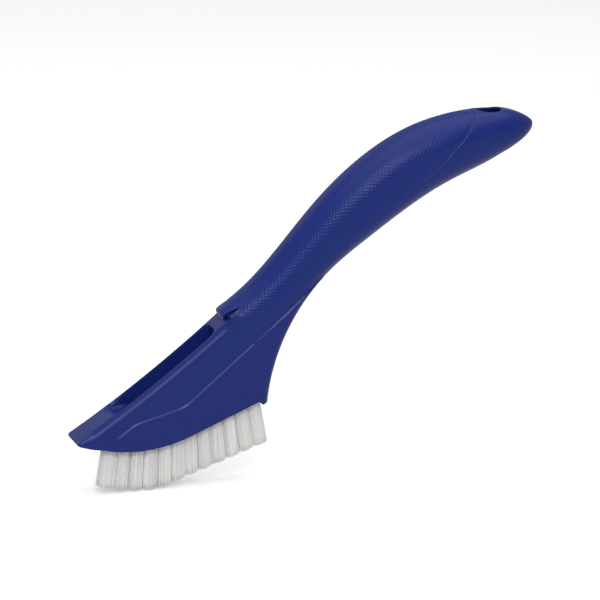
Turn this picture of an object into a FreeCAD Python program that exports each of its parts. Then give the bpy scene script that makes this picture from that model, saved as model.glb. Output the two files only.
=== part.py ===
import FreeCAD, Part
import math
import os

import Sketcher
from FreeCAD import Placement, Rotation, Vector

# A grout brush: a hard moulded head and handle core, a soft grip moulded over the handle,
# and two rows of nylon tufts, each folded over a metal anchor strip in its hole.
# X runs from the nose to the end of the handle and Z is up. Apart from the tufts, whose rows
# are staggered, the brush is its own mirror image about the XZ plane. The lowest bristle tips
# touch Z = 0.

# Driving dimensions, in millimetres
SIZES = {
    # Head, seen from the side
    "head_length": 62.1,
    "head_rise": 43.4,
    "stand_height": 15.94,
    "nose_lift": 5.26,
    "nose_thickness": 0.8,
    "underside_front": 30.94,
    "underside_radius": 58.0,
    "heel_reach": 47.86,
    "heel_lift": 19.47,
    "heel_lip": 3.3,
    "heel_lip_width": 3.0,
    "web_radius": 82.0,
    "rim_sag": 1.43,
    "rim_end_run": 3.4,
    "rim_end_rise": 3.8,
    # Head, seen from above
    "head_width": 18.0,
    "panel_step": 0.6,
    "nose_corner": 2.0,
    "rim_round": 0.6,
    "web_round": 4.0,
    "panel_bend": 14.0,
    # Trough in the top of the head
    "trough_width": 13.4,
    "trough_floor": 13.0,
    "trough_edge": 3.5,
    "scoop_depth": 3.1,
    "scoop_round": 4.5,
    # Handle
    "handle_reach": 130.6,
    "handle_rise": 71.6,
    "handle_height": 27.0,
    "handle_width": 24.0,
    "hang_bore": 10.0,
    # Soft grip
    "grip_wall": 2.0,
    "seam_gap": 0.8,
    "seam_radius": 150.0,
    # Tufts and their anchor strips
    "tuft_hole": 4.5,
    "tuft_clearance": 0.05,
    "hole_wall": 1.1,
    "row_wall": 1.3,
    "hole_floor": 3.0,
    "field_front": 14.4,
    "field_rear": 5.7,
    "anchor_thickness": 0.4,
    "anchor_width": 1.8,
    "anchor_bite": 0.4,
    "anchor_seat": 1.0,
    # Line along which the bristle tips are trimmed
    "trim_front": 17.36,
    "trim_bend": 16.947,
    "trim_rear": 15.41,
    "trim_overhang": 16.3,
    "trim_radius": 40.0,
    # How far a cutting or trimming form runs past what it cuts
    "overrun": 6.0,
}

# Places worked out from the driving dimensions
PLACES = {
    "nose_x": "-(head_length + handle_reach) / 2",
    "bend_x": "nose_x + underside_front",
    "heel_x": "bend_x + heel_reach",
    "shoulder_x": "nose_x + head_length",
    "nose_z": "stand_height + nose_lift",
    "rim_z": "nose_z + nose_thickness",
    "heel_z": "stand_height + heel_lift",
    "shoulder_z": "rim_z + head_rise",
    "rim_end_x": "shoulder_x + rim_end_run",
    "rim_end_z": "shoulder_z + rim_end_rise",
    "rim_chord": "sqrt((rim_end_x - nose_x)^2 + (rim_end_z - rim_z)^2)",
    "rim_radius": "rim_chord^2 / (8 * rim_sag) + rim_sag / 2",
    "rim_dip": "rim_sag * rim_chord / (rim_end_x - nose_x)",
    "front_slope": "nose_lift / underside_front",
    "heel_slope": "heel_lift / heel_reach",
    "hole_depth": "trough_floor - hole_floor",
    "row_spacing": "tuft_hole + row_wall",
    "panel_width": "head_width + 2 * panel_step",
}

# Lean of the first and last tuft of a row, in degrees, positive towards the handle
FRONT_LEAN = -9.5
REAR_LEAN = 10.5

# Upper edge of the lower side panel on the head: shares of the head's length and rise
PANEL_EDGE_SHARES = ((0.193, -0.026), (0.383, 0.162), (0.708, 0.282))
# Where that panel runs out under the handle: shares of the handle's reach and rise
PANEL_TIP_SHARES = (0.309, 0.2235)
# Where the upper part of the head ends inside the handle, the same way
HEAD_ROOT_SHARES = ((0.107, -0.186), (0.107, 0.010), (0.062, 0.031))
# Front of the trough, low and high, and its rear wall, from the shoulder: shares of the
# head's length
TROUGH_FRONT_SHARES = (0.368, 0.348)
TROUGH_REAR_SHARES = (-0.070, -0.076)
# The shallow scoop that leads from the nose plate down into the trough: shares of the rim
SCOOP_SHARES = (0.215, 0.330)

# Handle stations: place (shares of reach and rise from the shoulder), tilt in degrees,
# and size (shares of the handle's height and width)
HANDLE_STATION_SHARES = (
    (0.059, -0.062, 45.0, 0.941, 0.767),
    (0.137, 0.063, 48.0, 0.867, 0.808),
    (0.261, 0.316, 49.0, 0.785, 0.850),
    (0.394, 0.542, 43.0, 0.926, 0.950),
    (0.539, 0.739, 33.5, 1.000, 1.000),
    (0.678, 0.869, 23.5, 0.963, 1.000),
    (0.812, 0.941, 13.5, 0.830, 0.933),
    (0.902, 0.979, 9.0, 0.630, 0.790),
    (0.963, 0.994, 6.0, 0.374, 0.545),
    (1.000, 1.000, 4.0, 0.100, 0.150),
)
# How many of these stations, from the shoulder, the core under the grip runs through
CORE_STATIONS = 8
# Corner radius of a handle section, as a share of its smaller half size
OVAL_CORNER_SHARE = 0.9
# Lower and rear edge of the soft grip: shares of the handle's reach and rise
GRIP_EDGE_SHARES = ((-0.054, -0.008), (0.069, -0.013), (0.225, 0.180), (0.352, 0.330))
GRIP_REAR_SHARES = ((0.650, 0.805), (0.818, 1.142))
GRIP_TOP_SHARE = 1.4
# Hanging hole: place along the handle and the tilt of its axis, in degrees
HANG_SHARES = (0.869, 0.970)
HANG_TILT = 9.5
# How much wider than its hole a tuft gets, as a share of the wall between two holes
TUFT_FLARE_SHARE = 1.5
# Two places this close, in millimetres, are the same corner
CLOSE = 1e-4

doc = FreeCAD.newDocument("grout_brush")
sheet = doc.addObject("Spreadsheet::Sheet", "Sheet")
for row, (alias, content) in enumerate([*SIZES.items(), *PLACES.items()], start=1):
    sheet.set(f"A{row}", alias)
    sheet.set(f"B{row}", str(content) if alias in SIZES else f"={content}")
    sheet.setAlias(f"B{row}", alias)
doc.recompute()


def number(expression):
    """The value of an expression on the sheet."""
    return float(sheet.evalExpression(expression))


def size(alias):
    """The value of one cell."""
    return number(f"Sheet.{alias}")


def on_head(length_share, rise_share):
    """A side-view place on the head, as expressions for X and Z."""
    return (f"Sheet.nose_x + Sheet.head_length * {length_share}",
            f"Sheet.nose_z + Sheet.head_rise * {rise_share}")


def on_handle(reach_share, rise_share):
    """A side-view place on the handle, as expressions for X and Z."""
    return (f"Sheet.shoulder_x + Sheet.handle_reach * {reach_share}",
            f"Sheet.shoulder_z + Sheet.handle_rise * {rise_share}")


def on_rim(share):
    """A side-view place on the curve of the rim, a share of the way from the nose to its end."""
    return (f"Sheet.nose_x + (Sheet.rim_end_x - Sheet.nose_x) * {share}",
            f"Sheet.rim_z + (Sheet.rim_end_z - Sheet.rim_z) * {share}"
            f" - 4 * Sheet.rim_dip * {share} * (1 - {share})")


def new_sketch(body, name, role):
    """An empty sketch on one of the body's origin planes."""
    sketch = body.newObject("Sketcher::SketchObject", name)
    plane = next(item for item in body.Origin.OriginFeatures if item.Role == role)
    sketch.AttachmentSupport = [(plane, "")]
    sketch.MapMode = "FlatFace"
    return sketch


def bind(sketch, kind, first, second, expression):
    """A dimension between two sketch points (or of one edge) that follows an expression."""
    places = (*first, *second) if second else first
    index = sketch.addConstraint(Sketcher.Constraint(kind, *places, number(expression)))
    sketch.setExpression(f"Constraints[{index}]", expression)


def outline_sketch(body, name, corners, arcs=None):
    """A closed side-view outline; arcs maps a side's number to its radius and way of bulging.

    The way is 1 for an arc to the left of its chord, from corner to corner, and -1 to the right.
    """
    arcs = arcs or {}
    sketch = new_sketch(body, name, "XZ_Plane")
    points = [Vector(number(x), number(z), 0) for x, z in corners]
    ends = []
    for side, start in enumerate(points):
        end = points[(side + 1) % len(points)]
        edge = Part.LineSegment(start, end)
        if side in arcs:
            chord = end - start
            radius = number(arcs[side][0])
            sagitta = radius - math.sqrt(radius ** 2 - (chord.Length / 2) ** 2)
            outward = Vector(-chord.y, chord.x, 0).normalize() * arcs[side][1]
            edge = Part.Arc(start, start + chord / 2 + outward * sagitta, end)
        index = sketch.addGeometry(edge, False)
        turned = sketch.getPoint(index, 2).isEqual(start, CLOSE)
        ends.append((2, 1) if turned else (1, 2))
    for side, (x, z) in enumerate(corners):
        following = (side + 1) % len(corners)
        sketch.addConstraint(
            Sketcher.Constraint("Coincident", side, ends[side][1], following, ends[following][0]))
        bind(sketch, "DistanceX", (-1, 1), (side, ends[side][0]), x)
        bind(sketch, "DistanceY", (-1, 1), (side, ends[side][0]), z)
    for side, (radius, _) in arcs.items():
        bind(sketch, "Radius", (side,), None, radius)
    return sketch


def plate(name, corners, width, arcs=None):
    """A body padded from a side-view outline, equally to both sides of the middle plane."""
    body = doc.addObject("PartDesign::Body", name)
    pad = body.newObject("PartDesign::Pad", f"{name}_pad")
    pad.Profile = outline_sketch(body, f"{name}_outline", corners, arcs)
    pad.SideType = "Symmetric"
    pad.setExpression("Length", width)
    doc.recompute()
    return body


def side_place(corner):
    """The X and Z numbers of a side-view corner."""
    return number(corner[0]), number(corner[1])


def on_run(place, start, end, bow):
    """Whether a side-view place lies on the run between two corners, which may bow out a little."""
    run = math.dist(start, end)
    slack = 2 * math.hypot(run / 2, bow) - run
    return math.dist(start, place) + math.dist(place, end) - run < slack + CLOSE


def edges_between(body, first, second, bow):
    """Names of the edges of a body whose ends lie, seen from the side, between two corners.

    Given one corner twice, these are the edges that run straight across the body there.
    """
    start, end = side_place(first), side_place(second)
    across = math.dist(start, end) < CLOSE
    names = []
    for index, edge in enumerate(body.Tip.Shape.Edges, start=1):
        places = [(vertex.X, vertex.Z) for vertex in edge.Vertexes]
        whole = len(places) == 2 and all(on_run(place, start, end, bow) for place in places)
        if whole and (math.dist(*places) < CLOSE) == across:
            names.append(f"Edge{index}")
    return names


def round_edges(body, name, runs, radius, bow="0"):
    """Fillet the edges of a body that run between the given pairs of corners."""
    base = body.Tip
    names = [edge for first, second in runs for edge in edges_between(body, first, second, number(bow))]
    fillet = body.newObject("PartDesign::Fillet", name)
    fillet.Base = (base, names)
    fillet.setExpression("Radius", radius)
    doc.recompute()


def oval_sketch(body, name, station, inset):
    """A rounded section across the handle at one station, drawn in by an inset expression."""
    reach_share, rise_share, tilt, height_share, width_share = station
    x, z = on_handle(reach_share, rise_share)
    half_width = f"Sheet.handle_width * {width_share} / 2 - {inset}"
    half_height = f"Sheet.handle_height * {height_share} / 2 - {inset}"
    corner = f"min({half_width}; {half_height}) * {OVAL_CORNER_SHARE}"
    sketch = new_sketch(body, name, "YZ_Plane")
    sketch.AttachmentOffset = Placement(Vector(0, 0, 0), Rotation(Vector(1, 0, 0), -tilt))
    sketch.setExpression("AttachmentOffset.Base.y", z)
    sketch.setExpression("AttachmentOffset.Base.z", x)
    across, up, radius = number(half_width), number(half_height), number(corner)
    inner, rise = across - radius, up - radius
    quarter = math.pi / 2
    centres = ((inner, rise), (-inner, rise), (-inner, -rise), (inner, -rise))
    for turn, centre in enumerate(centres):
        circle = Part.Circle(Vector(*centre, 0), Vector(0, 0, 1), radius)
        sketch.addGeometry(Part.ArcOfCircle(circle, turn * quarter, (turn + 1) * quarter), False)
    for turn in range(len(centres)):
        start = sketch.getPoint(turn, 2)
        end = sketch.getPoint((turn + 1) % len(centres), 1)
        sketch.addGeometry(Part.LineSegment(start, end), False)
    for turn in range(len(centres)):
        line = len(centres) + turn
        sketch.addConstraint(Sketcher.Constraint("Tangent", turn, 2, line, 1))
        sketch.addConstraint(Sketcher.Constraint("Tangent", line, 2, (turn + 1) % len(centres), 1))
        sketch.addConstraint(Sketcher.Constraint("Vertical" if turn % 2 else "Horizontal", line))
        if turn:
            sketch.addConstraint(Sketcher.Constraint("Equal", 0, turn))
    bind(sketch, "Radius", (0,), None, corner)
    bind(sketch, "DistanceX", (-1, 1), (0, 1), half_width)
    bind(sketch, "DistanceY", (-1, 1), (0, 2), half_height)
    bind(sketch, "DistanceX", (2, 1), (-1, 1), half_width)
    bind(sketch, "DistanceY", (2, 2), (-1, 1), half_height)
    return sketch


def handle_loft(name, stations, inset):
    """The handle through the given stations, drawn in all round by an inset expression."""
    body = doc.addObject("PartDesign::Body", name)
    sections = [oval_sketch(body, f"{name}_section_{index}", station, inset)
                for index, station in enumerate(stations)]
    loft = body.newObject("PartDesign::AdditiveLoft", f"{name}_loft")
    loft.Profile = sections[0]
    loft.Sections = sections[1:]
    doc.recompute()
    return body


def boolean(kind, name, base, tool):
    """A boolean of two objects."""
    result = doc.addObject(f"Part::{kind}", name)
    result.Base = base
    result.Tool = tool
    result.Refine = False
    return result


def fused(name, shapes):
    """One form made of several."""
    result = doc.addObject("Part::MultiFuse", name)
    result.Shapes = shapes
    result.Refine = False
    return result


# Corners that more than one form shares
NOSE_UNDER = ("Sheet.nose_x + Sheet.nose_thickness",
              "Sheet.nose_z - Sheet.front_slope * Sheet.nose_thickness")
UNDER_BEND = ("Sheet.bend_x", "Sheet.stand_height")


def make_upper_head():
    """Nose plate, trough walls and the block under them, running back into the handle."""
    rim_end = ("Sheet.rim_end_x", "Sheet.rim_end_z")
    nose = ("Sheet.nose_x", "Sheet.rim_z")
    under_end = ("Sheet.heel_x - Sheet.heel_reach / 2", "Sheet.heel_z - Sheet.heel_lift / 2")
    corners = [NOSE_UNDER, UNDER_BEND, under_end,
               *(on_handle(*shares) for shares in HEAD_ROOT_SHARES), rim_end, nose]
    rim_side = corners.index(rim_end)
    body = plate("upper_head", corners, "Sheet.head_width", {rim_side: ("Sheet.rim_radius", 1)})
    round_edges(body, "underside_round", [(UNDER_BEND, UNDER_BEND)], "Sheet.underside_radius")
    round_edges(body, "nose_round", [(nose, NOSE_UNDER)], "Sheet.nose_corner")
    round_edges(body, "rim_edge_round", [(nose, rim_end)], "Sheet.rim_round", "Sheet.rim_sag")
    return body


def make_lower_panel():
    """The flat-sided panel under the head, proud of the walls above, with its heel lip."""
    edge_front, edge_bend, edge_rise = (on_head(*shares) for shares in PANEL_EDGE_SHARES)
    under_front = (edge_front[0], f"Sheet.nose_z - Sheet.front_slope * ({edge_front[0]} - Sheet.nose_x)")
    lip_front = ("Sheet.heel_x - Sheet.heel_lip_width",
                 "Sheet.heel_z - Sheet.heel_slope * Sheet.heel_lip_width")
    lip_foot = ("Sheet.heel_x - Sheet.heel_lip_width", "Sheet.heel_z - Sheet.heel_lip")
    heel = ("Sheet.heel_x", "Sheet.heel_z - Sheet.heel_lip")
    tip = on_handle(*PANEL_TIP_SHARES)
    corners = [under_front, UNDER_BEND, lip_front, lip_foot, heel, tip, edge_rise, edge_bend]
    body = plate("lower_panel", corners, "Sheet.panel_width", {4: ("Sheet.web_radius", 1)})
    round_edges(body, "panel_underside_round", [(UNDER_BEND, UNDER_BEND)], "Sheet.underside_radius")
    round_edges(body, "panel_edge_round", [(edge_bend, edge_bend), (edge_rise, edge_rise)],
                "Sheet.panel_bend")
    round_edges(body, "web_edge_round", [(heel, tip)], "Sheet.web_round")
    return body


def make_trough_form():
    """The hollow in the top of the head, deeper towards the handle."""
    front_low, front_high = (f"Sheet.nose_x + Sheet.head_length * {share}"
                             for share in TROUGH_FRONT_SHARES)
    floor_bend = ("Sheet.bend_x", "Sheet.stand_height + Sheet.trough_floor")
    floor_front = (front_low, f"{floor_bend[1]} + Sheet.front_slope * (Sheet.bend_x - ({front_low}))")
    low_share, high_share = TROUGH_REAR_SHARES
    low_x = f"Sheet.shoulder_x + Sheet.head_length * {low_share}"
    floor_rear = (low_x, f"{floor_bend[1]} + Sheet.heel_slope * ({low_x} - Sheet.bend_x)")
    rear_top = (f"Sheet.shoulder_x + Sheet.head_length * {high_share}",
                "Sheet.shoulder_z + Sheet.handle_height / 2")
    front_top = (front_high, f"{floor_front[1]} + Sheet.handle_height / 2")
    corners = [floor_front, floor_bend, floor_rear, rear_top, front_top]
    body = plate("trough_form", corners, "Sheet.trough_width")
    round_edges(body, "trough_edge_round", [
        (floor_front, floor_bend), (floor_bend, floor_rear), (floor_rear, rear_top)], "Sheet.trough_edge")
    return body


def make_scoop_form():
    """The shallow dish that leads from the nose plate down into the front of the trough."""
    start, end = (on_rim(share) for share in SCOOP_SHARES)
    run = f"({end[0]} - ({start[0]}))"
    climb = f"({end[1]} - Sheet.scoop_depth - ({start[1]}))"
    front = (f"{start[0]} - {run} / 2", f"{start[1]} - {climb} / 2")
    rear = (f"{start[0]} + {run} * 3 / 2", f"{start[1]} + {climb} * 3 / 2")
    top = f"{rear[1]} + Sheet.handle_height / 2"
    corners = [front, rear, (rear[0], top), (front[0], top)]
    body = plate("scoop_form", corners, "Sheet.trough_width")
    round_edges(body, "scoop_edge_round", [(front, rear)], "Sheet.scoop_round")
    return body


def make_grip_zone(name, rear_shift):
    """The side-view region of the soft grip, its rear edge moved back by an expression."""
    rear_low, rear_top = (on_handle(*shares) for shares in GRIP_REAR_SHARES)
    moved = [(f"{x} + {rear_shift}", z) for x, z in (rear_low, rear_top)]
    above = [(x, f"Sheet.shoulder_z + Sheet.handle_rise * {GRIP_TOP_SHARE}")
             for x in (moved[1][0], on_handle(*GRIP_EDGE_SHARES[0])[0])]
    corners = [*(on_handle(*shares) for shares in GRIP_EDGE_SHARES), *moved, *above]
    arc_side = len(GRIP_EDGE_SHARES)
    width = "Sheet.handle_width + 2 * Sheet.overrun"
    return plate(name, corners, width, {arc_side: ("Sheet.seam_radius", -1)})


def make_trim_form():
    """Everything above the curved line along which the bristles are trimmed."""
    front = ("Sheet.nose_x", "Sheet.nose_z - Sheet.trim_front")
    bend = ("Sheet.bend_x", "Sheet.stand_height - Sheet.trim_bend")
    rear = ("Sheet.heel_x + Sheet.trim_overhang", "Sheet.heel_z - Sheet.trim_rear")
    top = "Sheet.heel_z + Sheet.trough_floor"
    corners = [front, bend, rear, (rear[0], top), (front[0], top)]
    body = plate("trim_form", corners, "Sheet.head_width + 2 * Sheet.overrun")
    round_edges(body, "trim_round", [(bend, bend)], "Sheet.trim_radius")
    return body


def underside_point(distance):
    """The point of the underside's middle line that lies a distance back from the nose."""
    nose = Vector(size("nose_x"), 0, size("nose_z"))
    bend = Vector(size("bend_x"), 0, size("stand_height"))
    heel = Vector(size("heel_x"), 0, size("heel_z"))
    ahead = (bend - nose).normalize()
    behind = (heel - bend).normalize()
    turn = ahead.getAngle(behind)
    radius = size("underside_radius")
    tangent = radius * math.tan(turn / 2)
    front_run = (bend - nose).Length - tangent
    if distance <= front_run:
        return nose + ahead * distance
    arc_angle = (distance - front_run) / radius
    if arc_angle >= turn:
        return bend + behind * (tangent + (arc_angle - turn) * radius)
    inward = Vector(-ahead.z, 0, ahead.x)
    centre = bend - ahead * tangent + inward * radius
    return centre + (ahead * math.sin(arc_angle) - inward * math.cos(arc_angle)) * radius


def underside_length():
    """The length of the underside's middle line from the nose to the heel."""
    flat = math.hypot(size("underside_front"), size("nose_lift")) + math.hypot(
        size("heel_reach"), size("heel_lift"))
    turn = math.atan2(size("nose_lift"), size("underside_front")) + math.atan2(
        size("heel_lift"), size("heel_reach"))
    return flat - size("underside_radius") * (2 * math.tan(turn / 2) - turn)


def tuft_roots(staggered):
    """The middle of each hole's mouth in a row and the lean of its tuft, nose first.

    A staggered row has its tufts half way between those of the other row.
    """
    run = underside_length() - size("field_front") - size("field_rear")
    steps = int(run / (size("tuft_hole") + size("hole_wall")))
    half_step = 1 / 2 if staggered else 0
    roots = []
    for index in range(steps if staggered else steps + 1):
        share = (index + half_step) / steps
        point = underside_point(size("field_front") + run * share)
        roots.append((point, FRONT_LEAN + (REAR_LEAN - FRONT_LEAN) * share))
    return roots


def round_form(kind, name, origin, turn, back, sizes):
    """A cylinder or cone on a turned axis, starting a distance back from its origin."""
    form = doc.addObject(f"Part::{kind}", name)
    for key, expression in sizes.items():
        form.setExpression(key, expression)
    form.Placement = Placement(origin - turn.multVec(Vector(0, 0, back)), turn)
    return form


def anchor_box(name, mouth, up):
    """The metal strip across a hole, with its ends let into the walls of the hole."""
    box = doc.addObject("Part::Box", name)
    box.setExpression("Length", "Sheet.anchor_thickness")
    box.setExpression("Width", "Sheet.tuft_hole + 2 * Sheet.anchor_bite")
    box.setExpression("Height", "Sheet.anchor_width")
    corner = Vector(-size("anchor_thickness") / 2,
                    -size("tuft_hole") / 2 - size("anchor_bite"),
                    size("hole_depth") - size("anchor_seat") - size("anchor_width"))
    box.Placement = Placement(mouth + up.multVec(corner), up)
    return box


def make_tuft(name, mouth, lean, trim_form):
    """One tuft, its hole in the head and its anchor strip."""
    up = Rotation(Vector(0, 1, 0), -lean)
    down = Rotation(Vector(0, 1, 0), 180 - lean)
    hole = round_form("Cylinder", f"{name}_hole", mouth, up, size("overrun"), {
        "Radius": "Sheet.tuft_hole / 2",
        "Height": "Sheet.hole_depth + Sheet.overrun",
    })
    root = round_form("Cylinder", f"{name}_root", mouth, up, 0, {
        "Radius": "Sheet.tuft_hole / 2 - Sheet.tuft_clearance",
        "Height": "Sheet.hole_depth",
    })
    spread = round_form("Cone", f"{name}_spread", mouth, down, 0, {
        "Radius1": "Sheet.tuft_hole / 2 - Sheet.tuft_clearance",
        "Radius2": f"(Sheet.tuft_hole + Sheet.hole_wall * {TUFT_FLARE_SHARE}) / 2",
        "Height": "Sheet.trim_bend + Sheet.overrun",
    })
    anchor = anchor_box(f"{name}_anchor", mouth, up)
    bundle = fused(f"{name}_bundle", [root, spread])
    trimmed = boolean("Common", f"{name}_trimmed", bundle, trim_form)
    tuft = boolean("Cut", name, trimmed, anchor)
    return tuft, hole, anchor


def make_tufts():
    """Both rows of tufts, the cutting forms of their holes, and their anchors row by row."""
    trim_form = make_trim_form()
    tufts, holes, anchors = [], [], {}
    for side, sign, staggered in (("left", -1, False), ("right", 1, True)):
        anchors[side] = []
        for index, (mouth, lean) in enumerate(tuft_roots(staggered), start=1):
            place = mouth + Vector(0, sign * size("row_spacing") / 2, 0)
            tuft, hole, anchor = make_tuft(f"tuft_{side}_{index:02d}", place, lean, trim_form)
            tufts.append(tuft)
            holes.append(hole)
            anchors[side].append(anchor)
    return tufts, holes, anchors


def make_hang_bore():
    """The cutting form of the hanging hole, square to the handle near its end."""
    x, z = side_place(on_handle(*HANG_SHARES))
    reach = size("handle_height") / 2 + size("overrun")
    return round_form("Cylinder", "hang_bore_form", Vector(x, 0, z),
                      Rotation(Vector(0, 1, 0), -HANG_TILT), reach, {
                          "Radius": "Sheet.hang_bore / 2",
                          "Height": "Sheet.handle_height + 2 * Sheet.overrun",
                      })


def make_brush():
    """Every sub-part of the brush, by node name."""
    upper_head = make_upper_head()
    lower_panel = make_lower_panel()
    trough_form = make_trough_form()
    scoop_form = make_scoop_form()
    handle_form = handle_loft("handle_form", HANDLE_STATION_SHARES, "0")
    handle_core = handle_loft("handle_core", HANDLE_STATION_SHARES[:CORE_STATIONS], "Sheet.grip_wall")
    grip_zone = make_grip_zone("grip_zone", "0")
    seam_zone = make_grip_zone("seam_zone", "Sheet.seam_gap")
    tufts, holes, anchors = make_tufts()

    grip_blank = boolean("Common", "grip_blank", handle_form, grip_zone)
    grip_bed = fused("grip_bed", [handle_core, upper_head, trough_form])
    soft_grip = boolean("Cut", "soft_grip", grip_blank, grip_bed)

    bare_handle = boolean("Cut", "bare_handle", handle_form, seam_zone)
    head_blank = boolean("Fuse", "head_blank", upper_head, lower_panel)
    handle_blank = boolean("Fuse", "handle_blank", handle_core, bare_handle)
    body_blank = boolean("Fuse", "body_blank", head_blank, handle_blank)
    strips = [strip for row in anchors.values() for strip in row]
    body_cuts = fused("body_cuts", [trough_form, scoop_form, make_hang_bore(), *holes, *strips])
    brush_body = boolean("Cut", "brush_body", body_blank, body_cuts)

    nodes = [brush_body, soft_grip, *tufts]
    for side, row in anchors.items():
        strip_row = doc.addObject("Part::Compound", f"anchor_strips_{side}")
        strip_row.Links = row
        nodes.append(strip_row)
    for node in nodes:
        node.Label = node.Name
    doc.recompute()
    return nodes


def check(nodes):
    """Stop if any feature failed or any sub-part has no sound shape."""
    failed = [item.Name for item in doc.Objects if {"Invalid", "Error"} & set(item.State)]
    failed += [node.Label for node in nodes if node.Shape.isNull() or not node.Shape.isValid()]
    if failed:
        raise RuntimeError(f"failed: {failed}")


brush_nodes = make_brush()
check(brush_nodes)
os.makedirs("parts", exist_ok=True)
for brush_node in brush_nodes:
    brush_node.Shape.exportStep(f"parts/{brush_node.Label}.step")
    solids = brush_node.Shape.Solids
    print(brush_node.Label, len(solids), "solids", round(brush_node.Shape.Volume, 2), "mm3")
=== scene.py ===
"""Grout brush: a moulded blue body, a soft grip with a raised diamond pattern and two rows of
nylon tufts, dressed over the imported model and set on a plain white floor."""

import math
import random

import bmesh
import bpy
import numpy as np
from bpy.props import FloatProperty, FloatVectorProperty, IntProperty, PointerProperty
from bpy.types import Operator, Panel, PropertyGroup
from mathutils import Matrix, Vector
from mathutils.bvhtree import BVHTree
from mathutils.kdtree import KDTree


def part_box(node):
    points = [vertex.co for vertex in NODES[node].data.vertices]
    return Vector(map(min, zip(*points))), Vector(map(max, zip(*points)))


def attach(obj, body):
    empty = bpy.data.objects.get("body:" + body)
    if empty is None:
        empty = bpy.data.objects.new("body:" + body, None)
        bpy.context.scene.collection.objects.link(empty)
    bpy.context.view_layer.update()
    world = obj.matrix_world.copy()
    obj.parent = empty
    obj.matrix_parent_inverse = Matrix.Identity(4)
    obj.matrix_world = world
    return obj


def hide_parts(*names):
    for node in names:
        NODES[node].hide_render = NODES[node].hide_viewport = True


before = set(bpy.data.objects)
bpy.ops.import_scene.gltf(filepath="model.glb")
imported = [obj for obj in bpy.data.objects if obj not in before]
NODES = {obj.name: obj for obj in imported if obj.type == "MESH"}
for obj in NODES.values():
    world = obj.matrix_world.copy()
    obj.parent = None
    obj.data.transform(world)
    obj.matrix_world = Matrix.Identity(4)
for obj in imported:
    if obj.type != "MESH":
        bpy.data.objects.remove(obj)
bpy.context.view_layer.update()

bl_info = {
    "name": "Grout brush",
    "version": (1, 0, 0),
    "blender": (4, 5, 0),
    "location": "3D View > Sidebar > Grout brush",
    "description": "Dresses the grout brush: body, grip, tufts, anchor strips and stage",
    "category": "Object",
}

MM = 0.001
# Points closer than this count as one
WELD = 1e-6

TUFT_NODES = sorted(name for name in NODES if name.startswith("tuft_"))
ANCHOR_NODES = sorted(name for name in NODES if name.startswith("anchor_strips_"))

# Middle line of the handle in the XZ plane, as the four points of a cubic curve
HANDLE_LINE = ((-0.0404, 0.047), (0.0127, 0.100), (0.0337, 0.132), (0.0967, 0.137))
# Upper edge of the lower side panel in the XZ plane, and the radius of its two bends
LEDGE_LINE = ((-0.08437, 0.02007), (-0.07257, 0.02823), (-0.05238, 0.03344), (0.00611, 0.08140))
LEDGE_BEND = 0.014
# Floor of the scoop between the nose and the trough: places along X, their heights, half its
# width, how much higher the floor is along its sides and how late it starts to rise
SCOOP_X = (-0.0815, -0.0800, -0.0785, -0.0760, -0.0735, -0.0725)
SCOOP_Z = (0.0315, 0.0317, 0.0312, 0.0312, 0.0314, 0.0314)
SCOOP_HALF = 0.00665
SCOOP_BOWL = 0.0014
SCOOP_POWER = 6
# Trough: where its rear end is reshaped along X, half its width, how far its end wall leans back for
# each unit of depth, the depth where this lean stops, and the depth of its floor
TROUGH_END = (-0.047, -0.0365)
TROUGH_HALF = 0.0069
TROUGH_LEAN = 0.6
TROUGH_DEEP = 0.008
TROUGH_FLOOR = 0.0225
# Where the underside of the head ends at the heel
SOLE_END = (-0.023, -0.016)
# Notch under the front lip of the grip: corners as the distance behind the grip's front and the
# distance round from its ridge, at the radius that this distance is measured at
NOTCH = ((-0.009, 0.0055), (-0.001, 0.0055), (0.0055, 0.0077), (0.0, 0.0068), (0.0, 0.0095),
         (-0.009, 0.0095))
NOTCH_RADIUS = 0.0128
# Name of the grip's mesh attribute that holds the height of its pattern, from 0 to 1
RELIEF = "relief"
# Strength of the reflection on the blue mouldings, and how far their roughness changes either way
SHEEN = 0.2
GLOSS_CHANGE = 0.06
# Scale and depth of the fine grain on the body and on the grip
BODY_GRAIN = (2600.0, 0.012 * MM)
GRIP_GRAIN = (3200.0, 0.010 * MM)
# Darker and paler steel of the anchor strips, and the least and most roughness
STEEL = ((0.50, 0.49, 0.47), (0.66, 0.65, 0.63))
STEEL_GLOSS = (0.25, 0.45)


def linear(red, green, blue):
    """Display colour from 0 to 255 as the linear values that a shader takes."""
    shares = [value / 255 for value in (red, green, blue)]
    return tuple(s / 12.92 if s <= 0.04045 else ((s + 0.055) / 1.055) ** 2.4 for s in shares)


def length(label, about, default):
    """A size in metres that a user can change."""
    return FloatProperty(name=label, description=about, default=default, min=0.0,
                         subtype="DISTANCE", unit="LENGTH", precision=5)


def share(label, about, default):
    """A share from 0 to 1 that a user can change."""
    return FloatProperty(name=label, description=about, default=default, min=0.0, max=1.0,
                         subtype="FACTOR")


def angle(label, about, degrees):
    """An angle that a user can change."""
    return FloatProperty(name=label, description=about, default=math.radians(degrees),
                         subtype="ANGLE", unit="ROTATION")


def colour(label, about, default):
    """A colour that a user can change."""
    return FloatVectorProperty(name=label, description=about, default=default, size=3,
                               min=0.0, max=1.0, subtype="COLOR")


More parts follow.
